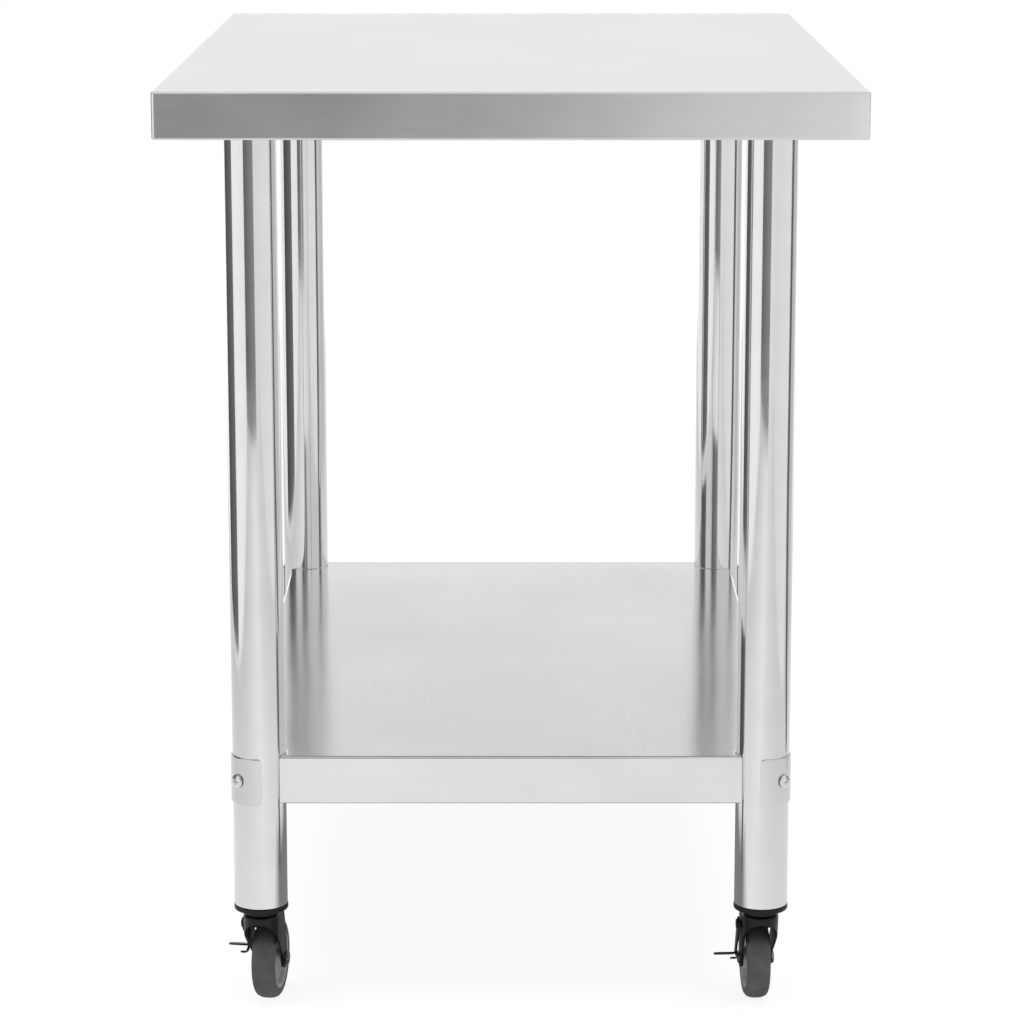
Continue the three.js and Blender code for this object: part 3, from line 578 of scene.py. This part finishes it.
for corner in CORNERS:
    levels = np.concatenate([
        [leg_low[2] + 0.4], screw_z + np.array([-40, -14, -7, 7, 14, 40]),
        np.linspace(screw_z + 80, leg_high[2] - 0.4, 8),
    ])
    outside = np.stack([np.full(len(levels), leg_radius), levels], -1)
    inner = leg_radius - LEG_WALL
    ends = [(leg_radius - 0.4, leg_high[2]), (inner, leg_high[2])]
    inside = np.stack([np.full(len(levels), inner), levels[::-1]], -1)
    close = [(inner, leg_low[2]), (leg_radius - 0.4, leg_low[2]), tuple(outside[0])]
    tube = turned(np.concatenate([outside, ends, inside, close]), LEG_SIDES) + corner_of[corner]
    leg = make(
        f"leg_tube_{corner}", [tube], polished_tube, "table", [f"leg_{corner}"],
    )
    combine(leg, [cutter([at_clamp(across(rod(SCREW_HOLE, -30, 30)), corner)])], "DIFFERENCE")

    low, high = box_mm("leg_socket_" + corner)
    cup = leg_radius + GAP
    flange = high[2] - SOCKET_FLANGE
    rim = (high[0] - low[0]) / 2
    socket_line = rounded([
        (0, flange, 0), (cup, flange, 0.6), (cup, low[2], 0.3), (cup + SOCKET_WALL, low[2], 0.6),
        (cup + SOCKET_WALL, flange, 2.5), (rim, flange, 1.0), (rim, high[2], 0.5), (0, high[2], 0),
    ])
    make(
        f"leg_socket_{corner}_pressed", [turned(socket_line) + corner_of[corner]], zinc_steel,
        "table", ["leg_socket_" + corner],
    )

# Undershelf: one 1.2 mm sheet folded down all round like the worktop, its corners scooped to fit the legs.
# It has no board, so the face waves a little between its folds.
SHELF_HEM = 11
SCOOP = leg_radius + GAP
shelf_low, shelf_high = box_mm("shelf")


def shelf_outline(inset):
    """The shelf's ring at a distance in from its edge. A hem's depth isn't carried round the scoops."""
    radius = SCOOP + min(inset, SHEET if inset > 9 else inset)
    half_x, half_y = shelf_high[:2] - inset
    arcs = []
    for corner in ("front_right", "back_right", "back_left", "front_left"):
        x, y, _ = corner_of[corner]
        side_x, side_y = np.sign([x, y])
        past_x, past_y = half_x - abs(x), half_y - abs(y)
        on_short = math.atan2(side_y * past_y, -side_x * math.sqrt(radius**2 - past_y**2))
        on_long = math.atan2(-side_y * math.sqrt(radius**2 - past_x**2), side_x * past_x)
        start, end = (on_long, on_short) if side_x == side_y else (on_short, on_long)
        sweep = (end - start) % (2 * math.pi) - 2 * math.pi
        arcs.append(arc((x, y), radius, math.degrees(start), math.degrees(start + sweep), 20))
    return ring(arcs, (90, 50, 90, 50))


def shelf_wave(x, y):
    """The unbacked face's slow buckles, a fifth of a millimetre high, about two of them along its length."""
    along = 0.13 * np.sin(2 * math.pi * y / 390 + 0.6) * np.sin(x / 74)
    return along + 0.03 * np.sin((y - 0.4 * x) / 33) * np.sin(x / 60 + 0.5)


shelf_line = rounded([
    (4, shelf_high[2], 0), (0, shelf_high[2], 2.0), (0, shelf_low[2], HEM_FOLD), (SHELF_HEM, shelf_low[2], 0),
    (SHELF_HEM, shelf_low[2] + SHEET, 0), (SHEET, shelf_low[2] + SHEET, HEM_FOLD - SHEET),
    (SHEET, shelf_high[2] - SHEET, 0.8), (4, shelf_high[2] - SHEET, 0),
])
shelf_steel = brushed_sheet("smooth_stainless_sheet", ("#E0E0E0", "#E6E6E6"), (0.12, 0.17))
shelf = make(
    "undershelf", folded(shelf_outline, shelf_line, 80, shelf_wave), shelf_steel,
    "table", ["shelf"],
)
drills = [cutter([at_clamp(across(rod(SCREW_HOLE, -32, -20)), corner)]) for corner in CORNERS]
combine(shelf, drills, "DIFFERENCE")

# Clamps: a saddle bracket of the same sheet hugs the outside of each leg, and one zinc-plated screw with a
# domed cross-recessed head runs through bracket, leg and shelf corner into a hexagon nut.
BRACKET_HALF_ANGLE = 53
BRACKET_CORNER = 3.5
HEAD_RADIUS = 6.3
HEAD_HEIGHT = 3.2
RECESS_HALF = 0.62
RECESS_REACH = 3.3
RECESS_DEPTH = 1.3
NUT_RADIUS = 5.8
NUT_HEIGHT = 5
SCREW_REACH = 9
THREAD_LENGTH = 14
THREAD_PITCH = 1.0
THREAD_DEPTH = 0.35
bright_zinc = finish("bright_zinc_plate", ("#DADCDE", "#E6E8EA"), (0.1, 0.2), 2, 0.8, 0.004, 1.0)
bracket_steel = brushed_sheet("pressed_stainless_strap", ("#DADADA", "#E2E2E2"), (0.15, 0.21))
bracket_inner = leg_radius + GAP
bracket_half = BRACKET_HALF_ANGLE / 180 * math.pi * bracket_inner
bracket_half_height = (bracket_high - bracket_low)[2] / 2


def strap_outline(inset):
    """The flat strap's ring, its long way along Y."""
    radius = max(BRACKET_CORNER - inset, 0.2)
    return rounded_rectangle(bracket_half_height - inset, bracket_half - inset, radius, (24, 20, 24, 20))


def wrapped(patch, radius):
    """A flat shape bent round the vertical: Y goes round the curve, X is the height and Z the depth."""
    angle = patch[..., 1] / radius
    reach = radius + patch[..., 2]
    return np.stack([reach * np.cos(angle), reach * np.sin(angle), patch[..., 0]], -1)


def hexagonal(limits, heights, radius, sides=48):
    """A hexagon about the vertical, cut at each height to a limit on its radius where that is less."""
    angle = np.linspace(0, 2 * math.pi, sides + 1)
    hexagon = radius * math.cos(math.pi / 6) / np.cos(angle % (math.pi / 3) - math.pi / 6)
    reach = np.minimum(np.array(limits, float)[:, None], hexagon)
    height = np.array(heights)[:, None] + 0 * angle
    return np.stack([reach * np.cos(angle), reach * np.sin(angle), height], -1)


def nut(radius, bore, start, end):
    """A hexagon nut about the vertical, chamfered at both faces and bored."""
    face = radius * 0.9
    limits = [bore, face, radius, radius, face, bore, bore]
    heights = [start, start, start + 0.7, end - 0.7, end, end, start]
    return hexagonal(limits, heights, radius)


def screw_head(radius, height, seat):
    """A dome about the vertical: a rim, then a round crown, sunk by a cross recess at the middle."""
    share = np.linspace(0, 1, 28)[:, None]
    angle = np.linspace(0, 2 * math.pi, 97)
    reach = radius * share
    crown = height * (0.3 + 0.7 * np.sqrt(np.clip(1 - (0.96 * share) ** 2.2, 0, 1)))
    arm = np.minimum(np.abs(reach * np.cos(angle)), np.abs(reach * np.sin(angle)))
    sunk = np.clip((RECESS_HALF - arm) / 0.25, 0, 1) * np.clip((RECESS_REACH - reach) / 0.5, 0, 1)
    top = np.stack([reach * np.cos(angle), reach * np.sin(angle), seat + crown - RECESS_DEPTH * sunk], -1)
    rim = turned(np.array([(0, seat), (radius - 0.3, seat), (radius, seat + 0.3)]), 96)
    edge = np.stack([rim[-1], top[-1]])
    return [top, rim, edge]


for corner in CORNERS:
    strap_line = rounded([(6, SHEET, 0), (0, SHEET, 0.45), (0, 0, 0.2), (6, 0, 0)], 3)
    strap = [wrapped(patch, bracket_inner) for patch in folded(strap_outline, strap_line, 14)]
    bracket = make(
        f"saddle_bracket_{corner}", [at_clamp(patch, corner) for patch in strap], bracket_steel,
        "table", [f"shelf_bracket_{corner}"],
    )
    combine(bracket, [cutter([at_clamp(across(rod(SCREW_HOLE, 10, 40)), corner)])], "DIFFERENCE")

    seat = bracket_inner + SHEET + GAP
    tip = -seat - SCREW_REACH
    turns = np.arange(tip + 1, tip + THREAD_LENGTH, THREAD_PITCH / 2)
    thread = [(SCREW_RADIUS - THREAD_DEPTH * (i % 2), z) for i, z in enumerate(turns)]
    neck = (SCREW_RADIUS, tip + THREAD_LENGTH + 1)
    shank = [(0, tip), (SCREW_RADIUS - 0.8, tip), *thread, neck, (SCREW_RADIUS, seat), (0, seat)]
    shank = turned(np.array(shank, float), 40)
    head = [at_clamp(across(patch), corner) for patch in screw_head(HEAD_RADIUS, HEAD_HEIGHT, seat)]
    screw = make(
        f"clamp_screw_{corner}", head, bright_zinc, "table", [f"bracket_screw_{corner}"],
    )
    combine(screw, [cutter([at_clamp(across(shank), corner)])], "UNION")

    low_seat = -bracket_inner - 2 * SHEET - GAP
    make(
        f"clamp_nut_{corner}",
        [at_clamp(across(nut(NUT_RADIUS, SCREW_HOLE, low_seat - NUT_HEIGHT, low_seat)), corner)],
        bright_zinc, "table", [f"bracket_nut_{corner}"], 25,
    )

# Plugs and stems: a moulded nylon plug is driven into each leg's foot, and the caster's stem into the plug.
# The stem carries a pressed black cup that covers the swivel's balls, over the fork's crown.
black_nylon = finish(
    "black_moulded_nylon", ("#0E0E10", "#141416"), (0.4, 0.52), 12, 0.9, 0.02, Specular_IOR_Level=0.3,
)
black_coat = finish(
    "black_electrocoated_steel", ("#08080A", "#0D0D0F"), (0.26, 0.4), 9, 1.6, 0.015, Specular_IOR_Level=0.3,
)
STEM_RADIUS = 5
PLUG_FIT = 0.6
FORK_SHEET = 2.4
for corner in CORNERS:
    low, high = box_mm("caster_plug_" + corner)
    sleeve = leg_radius - LEG_WALL - PLUG_FIT
    collar = leg_low[2] - GAP
    plug_radius = (high[0] - low[0]) / 2
    bore = STEM_RADIUS + GAP
    plug_line = rounded([
        (bore, low[2] + 1, 0), (bore, low[2], 0.5), (plug_radius, low[2], 1.6), (plug_radius, collar, 0.7),
        (sleeve, collar, 0.3), (sleeve, high[2] - 3, 1), (sleeve - 1.5, high[2], 1), (bore, high[2], 0.5),
        (bore, low[2] + 1, 0),
    ])
    make(
        f"leg_plug_{corner}", [turned(plug_line, 96) + corner_of[corner]], black_nylon,
        "table", ["caster_plug_" + corner],
    )
    low, high = box_mm("caster_stem_" + corner)
    cup = (high[0] - low[0]) / 2
    crown = box_mm("caster_fork_" + corner)[1][2]
    cup_low = crown + GAP
    cup_high = box_mm("caster_plug_" + corner)[0][2] - GAP
    under = crown - FORK_SHEET - GAP
    stem_line = rounded([
        (0, low[2], 0), (8, low[2], 1.3), (8, under, 0.4), (STEM_RADIUS, under, 0), (STEM_RADIUS, cup_low, 0),
        (cup, cup_low, 0.3), (cup, cup_high, 1.6), (STEM_RADIUS, cup_high, 0), (STEM_RADIUS, high[2], 1),
        (0, high[2], 0),
    ])
    make(
        f"swivel_stem_{corner}", [turned(stem_line, 80) + corner_of[corner]], black_coat,
        "table", ["caster_stem_" + corner],
    )

# Forks: pressed from one blank and coated black. A round-nosed crown turns down all round its front into a
# skirt, which runs back and down on each side as a cheek, waisted to the axle's boss.
CROWN_HALF = 16.6
CROWN_BACK = 19
SHOULDER = 3.2
ANKLE = 14.3
TRAIL = 34
BOSS = 9
AXLE_Z = 37.5
AXLE_HOLE = 4.6
PIVOT_Y = 10
PIVOT_Z = 78
PIN_HOLE = 3.4
SIDE_RIBS = 90
crown_top = box_mm("caster_fork_front_right")[1][2]
joint_of = {joint["name"]: joint for joint in frame["joints"]}


def bezier(start, control, end, steps):
    """A curve from start to end, drawn towards one control point."""
    share = np.linspace(0, 1, steps + 1)[:, None]
    a, b, c = (np.array(point, float) for point in (start, control, end))
    return a * (1 - share) ** 2 + 2 * b * share * (1 - share) + c * share**2


def resampled(line, count):
    """The same line with its points spaced evenly along it."""
    walked = np.concatenate([[0], np.cumsum(np.linalg.norm(np.diff(line, axis=0), axis=1))])
    even = np.linspace(0, walked[-1], count)
    return np.stack([np.interp(even, walked, line[:, k]) for k in range(2)], -1)


def cheek_half(height):
    """How far a cheek stands from the middle at a height: it bulges, then draws in to the ankle."""
    levels = np.array([30, 44, 49, 56, 64, 70, 78, 86, 92])
    widths = np.array([0, 0, 0.3, 0.9, 1.4, 1.7, 2.0, 2.2, 2.3])
    return ANKLE + np.interp(height, levels, widths)


def fork_face(inwards):
    """The fork's face at a depth into its sheet. Each rib starts on the crown's middle line, crosses the
    crown to its edge, rounds the shoulder, and goes down the skirt to the bottom edge of nose or cheek."""
    front = bezier((-18, 85.7), (3, 64), (25.6, 40.7), 60)
    boss = arc((TRAIL, AXLE_Z), BOSS, 160, 372, 40)
    back = bezier(boss[-1], (30, 66), (21, 85.7), 30)
    cheek = resampled(np.concatenate([front[front[:, 0] > 0], boss[1:], back[1:]]), SIDE_RIBS)
    nose_angle = np.radians(np.linspace(180, 360, 61))[1:-1]
    nose = CROWN_HALF * np.stack([np.cos(nose_angle), np.sin(nose_angle)], -1)
    nose_z = np.interp(nose[:, 1], front[:, 0], front[:, 1])
    side = np.linspace(0, CROWN_BACK, SIDE_RIBS)
    edge = np.full(SIDE_RIBS, CROWN_HALF)
    top = np.concatenate([np.stack([-edge, side[::-1]], -1), nose, np.stack([edge, side], -1)])
    bottom_y = np.concatenate([cheek[::-1, 0], nose[:, 1], cheek[:, 0]])
    bottom_z = np.concatenate([cheek[::-1, 1], nose_z, cheek[:, 1]])
    outward = np.stack([top[:, 0], np.minimum(top[:, 1], 0)], -1)
    outward /= np.linalg.norm(outward, axis=1)[:, None]
    middle = np.stack([0 * top[:, 0], np.maximum(top[:, 1], 0)], -1)
    ceiling = crown_top - inwards
    rows = []
    for share in np.linspace(0, 1, 8)[:-1]:
        rows.append(raised(middle + share * (top - SHOULDER * outward - middle), ceiling))
    for angle in np.linspace(0, math.pi / 2, 7):
        at = top - (SHOULDER - (SHOULDER - inwards) * math.sin(angle)) * outward
        rows.append(raised(at, ceiling - (SHOULDER - inwards) * (1 - math.cos(angle))))
    start_z = crown_top - SHOULDER
    for share in np.linspace(0, 1, 25)[1:]:
        z = start_z + share * (bottom_z - start_z)
        y = top[:, 1] + share * (bottom_y - top[:, 1])
        out = (cheek_half(z) - CROWN_HALF - inwards)[:, None] * outward
        rows.append(np.stack([top[:, 0] + out[:, 0], y + out[:, 1], z], -1))
    return np.stack(rows)


def fork_shell():
    """The fork's outer and inner faces, and the cut edges of its sheet between them."""
    outer, inner = fork_face(0), fork_face(FORK_SHEET)
    cuts = [(outer[-1], inner[-1]), (outer[:, 0], inner[:, 0]), (outer[:, -1], inner[:, -1])]
    return [outer, inner] + [np.stack(cut) for cut in cuts]


def at_caster(patch, corner):
    """A shape in the caster's own frame, its wheel trailing along +Y, moved to a corner."""
    x, y, _ = joint_of["roll_" + corner]["axis"]
    return rotate(patch, math.degrees(math.atan2(y, x)), "Z") + corner_of[corner]


for corner in CORNERS:
    fork = make(
        f"pressed_fork_{corner}", [at_caster(patch, corner) for patch in fork_shell()], black_coat,
        "fork_" + corner, ["caster_fork_" + corner],
    )
    holes = [rod(STEM_RADIUS + 2 * GAP, 80, 100), across(rod(AXLE_HOLE, -30, 30)) + (0, TRAIL, AXLE_Z)]
    if "brake_" + corner in joint_of:
        holes.append(across(rod(PIN_HOLE, -30, 0)) + (0, PIVOT_Y, PIVOT_Z))
    combine(fork, [cutter([at_caster(hole, corner) for hole in holes])], "DIFFERENCE")

# Wheels: a grey thermoplastic rubber tyre moulded over a paler nylon hub, on a zinc-plated axle bolt with a
# lock nut. The tread is smooth, with round shoulders and two faint mould lines.
grey_rubber = finish(
    "grey_moulded_rubber", ("#4C4C4E", "#58585A"), (0.46, 0.6), 14, 0.8, 0.03, Specular_IOR_Level=0.3,
)
grey_nylon = finish("grey_moulded_nylon", ("#8C8D8E", "#989A9B"), (0.36, 0.48), 8, 0.7, 0.015)
TYRE_HALF = 11
RIM = 28.5
TYRE_EDGE = 29.6
TREAD = 37.5
CROWNING = 2.6
side = np.linspace(-1, 1, 73)
rounding = (1 - np.abs(side) ** CROWNING) ** (1 / CROWNING)
mould_lines = 0.16 * np.exp(-(((np.abs(side) - 0.62) / 0.03) ** 2))
tread_line = np.stack([TYRE_EDGE + (TREAD - TYRE_EDGE) * rounding - mould_lines, TYRE_HALF * side], -1)
bead = TYRE_HALF - 0.6
tyre_line = np.concatenate([[(RIM, -bead)], tread_line, [(RIM, bead), (RIM, -bead)]])
HUB_HALF = 11.5
hub_side = [
    (4.3, HUB_HALF, 0), (9, HUB_HALF, 0.6), (10, 6.6, 1.5), (15, 5.4, 1), (16, 6.3, 0.4), (17.2, 6.3, 0.4),
    (18, 5.4, 0.6), (22.5, 6.2, 1.2), (24.8, 9.9, 0.6), (RIM - GAP, 10.5, 0.3),
]
hub_line = rounded([*[(r, -x, f) for r, x, f in hub_side], *hub_side[::-1], (4.3, -HUB_HALF, 0)], 4)
AXLE_RADIUS = 4
AXLE_HEAD = 5.6
AXLE_SEAT = ANKLE + GAP
AXLE_END = AXLE_SEAT + 2.2
LOCK_NUT = 6.2
LOCK_NUT_HEIGHT = 2.6
axle_line = rounded([
    (0, -AXLE_SEAT - 1.8, 0), (3.6, -AXLE_SEAT - 1.8, 1.6), (AXLE_HEAD, -AXLE_SEAT - 1.0, 0.4),
    (AXLE_HEAD, -AXLE_SEAT, 0.2), (AXLE_RADIUS, -AXLE_SEAT, 0), (AXLE_RADIUS, AXLE_END, 0),
    (AXLE_RADIUS - 0.8, AXLE_END + 0.8, 0), (0, AXLE_END + 0.8, 0),
])
dull_zinc = finish("dulled_zinc_plate", ("#7C7E80", "#929496"), (0.3, 0.44), 2, 0.8, 0.006, 1.0)
for corner in CORNERS:
    for piece, line, material, body, slot, sides in (
        ("tyre", tyre_line, grey_rubber, "wheel_", "grey_rubber", 128),
        ("hub", hub_line, grey_nylon, "wheel_", "grey_plastic", 96),
        ("axle", axle_line, dull_zinc, "fork_", "bright_steel", 48),
    ):
        shape = at_caster(across(turned(line, sides)) + (0, TRAIL, AXLE_Z), corner)
        make(f"wheel_{piece}_{corner}", [shape], material, body + corner, [f"caster_{piece}_{corner}"])
    lock_nut = nut(LOCK_NUT, AXLE_HOLE, AXLE_SEAT, AXLE_SEAT + LOCK_NUT_HEIGHT)
    lock_nut = across(lock_nut) + (0, TRAIL, AXLE_Z)
    make(
        f"axle_nut_{corner}", [at_caster(lock_nut, corner)], dull_zinc,
        "fork_" + corner, ["caster_nut_" + corner], 25,
    )

# Foot brakes: on each front caster a black pressed lever turns a cam over the tyre. Its long tab is trodden
# down to lock the wheel and its short one to free it.
LEVER_X = -18.5
LEVER_SHEET = 1.6
PEDAL_REACH = 39
PEDAL_SLOPE = -12
RELEASE_REACH = 25.4
CAM_HALF = 11
CAM_REACH = 9.0
CAM_ROOT = 4.5
CAM_NOSE = 3.2
PIN_RADIUS = 2.8
RIVET_RADIUS = 4.5
RIVET_HEIGHT = 1.3


def lever_strip(start, end, start_half, end_half, slope, reach, bend=2.6, steps=12):
    """A strip in the lever's plane from a round start to a fold along a sloping line, then straight out
    to a round end. Each row goes from one side of the strip to the other."""
    start, end = np.array(start, float), np.array(end, float)
    length = np.linalg.norm(end - start)
    ahead = (end - start) / length
    level = np.array([math.cos(math.radians(slope)), math.sin(math.radians(slope))])
    square = np.array([-ahead[1], ahead[0]])
    square = square if square @ level > 0 else -square
    down = np.array([level[1], -level[0]])
    rows = []
    round_start = start_half * np.cos(np.linspace(math.pi, math.pi / 2, 9))
    for along in [*round_start, *np.linspace(0, length, steps)[1:]]:
        share = max(along, 0) / length
        half = start_half + (end_half - start_half) * share
        if along < 0:
            half = math.sqrt(max(start_half**2 - along**2, 0))
        way = square + (level - square) * share**2 * (3 - 2 * share)
        way /= np.linalg.norm(way)
        centre = start + along * ahead
        rows.append((0.0, centre, half, way))
    for angle in np.linspace(0, math.pi / 2, 7)[1:]:
        centre = end + down * bend * math.sin(angle)
        rows.append((-bend * (1 - math.cos(angle)), centre, end_half, level))
    round_end = end_half - (reach + LEVER_X)
    nose = round_end - end_half * np.sin(np.linspace(0, math.pi / 2, 8)[1:])
    for out in [*np.linspace(-bend, round_end, 8)[1:], *nose]:
        past = max(round_end - out, 0)
        half = math.sqrt(max(end_half**2 - past**2, 0))
        rows.append((out, end + down * bend, half, level))
    side = np.linspace(-1, 1, 7)
    made = []
    for x, centre, half, way in rows:
        at = centre + side[:, None] * half * way
        made.append(np.stack([np.full(7, LEVER_X + x), at[:, 0], at[:, 1]], -1))
    return np.stack(made)


def at_brake(patch, corner):
    """A shape in the caster's frame with the brake free, turned to how this brake stands at rest."""
    rest = -joint_of["brake_" + corner]["range_deg"][1]
    return at_caster(rotate(patch, rest, "X", (0, PIVOT_Y, PIVOT_Z)), corner)


def cam_outline(inset):
    """The cam's ring seen from the side: two unlike discs and the lines that touch both."""
    root, nose = CAM_ROOT - inset, CAM_NOSE - inset
    lean = math.degrees(math.acos((root - nose) / CAM_REACH))
    return ring([arc((0, 0), root, lean, 360 - lean, 24), arc((CAM_REACH, 0), nose, -lean, lean, 16)], (6, 6))


cam_line = rounded([(1.2, -CAM_HALF, 0), (0, -CAM_HALF, 0.6), (0, CAM_HALF, 0.6), (1.2, CAM_HALF, 0)])
cam = [np.stack([raised(cam_outline(inset), z) for inset, z in cam_line])]
for end in (0, -1):
    middle = [3.0, 0, cam[0][end][0, 2]]
    cam.append(np.stack([cam[0][end], np.broadcast_to(middle, cam[0][end].shape)]))
rivet = LEVER_X - LEVER_SHEET / 2 - GAP
pin_line = rounded([
    (0, 0, 0), (PIN_RADIUS, 0, 0), (PIN_RADIUS, rivet, 0), (RIVET_RADIUS, rivet, 0.2),
    (RIVET_RADIUS, rivet - RIVET_HEIGHT, 0.9), (0, rivet - RIVET_HEIGHT, 0),
])
for corner in ("front_left", "front_right"):
    body = "brake_" + corner
    pedal = lever_strip((PIVOT_Y, PIVOT_Z), (34.8, 51), 6.5, 5, PEDAL_SLOPE, PEDAL_REACH)
    release = lever_strip((33, 50), (22.2, 47.6), 3.6, 3, PEDAL_SLOPE, RELEASE_REACH, 2.2)
    strips = []
    for name, strip, thickness in (
        (f"foot_lever_{corner}", pedal, LEVER_SHEET), ("tool", release, 0.9 * LEVER_SHEET),
    ):
        piece = make(name, [at_brake(strip, corner)], black_coat, None)
        sheet_from(piece, thickness, 0, 0.35)
        bake(piece)
        strips.append(piece)
    lever, tab = strips
    hole = cutter([at_brake(across(rod(PIN_HOLE, -25, 0)) + (0, PIVOT_Y, PIVOT_Z), corner)])
    combine(lever, [tab], "UNION")
    combine(lever, [hole], "DIFFERENCE")
    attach(lever, body)
    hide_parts("brake_lever_" + corner)

    shoe = make(
        f"brake_cam_{corner}",
        [at_brake(across(patch) + (0, PIVOT_Y, PIVOT_Z), corner) for patch in cam], black_coat,
        body, ["brake_shoe_" + corner],
    )
    pin = at_brake(across(turned(pin_line, 40)) + (0, PIVOT_Y, PIVOT_Z), corner)
    pin = make("tool", [pin], black_coat, None)
    combine(shoe, [pin], "UNION")
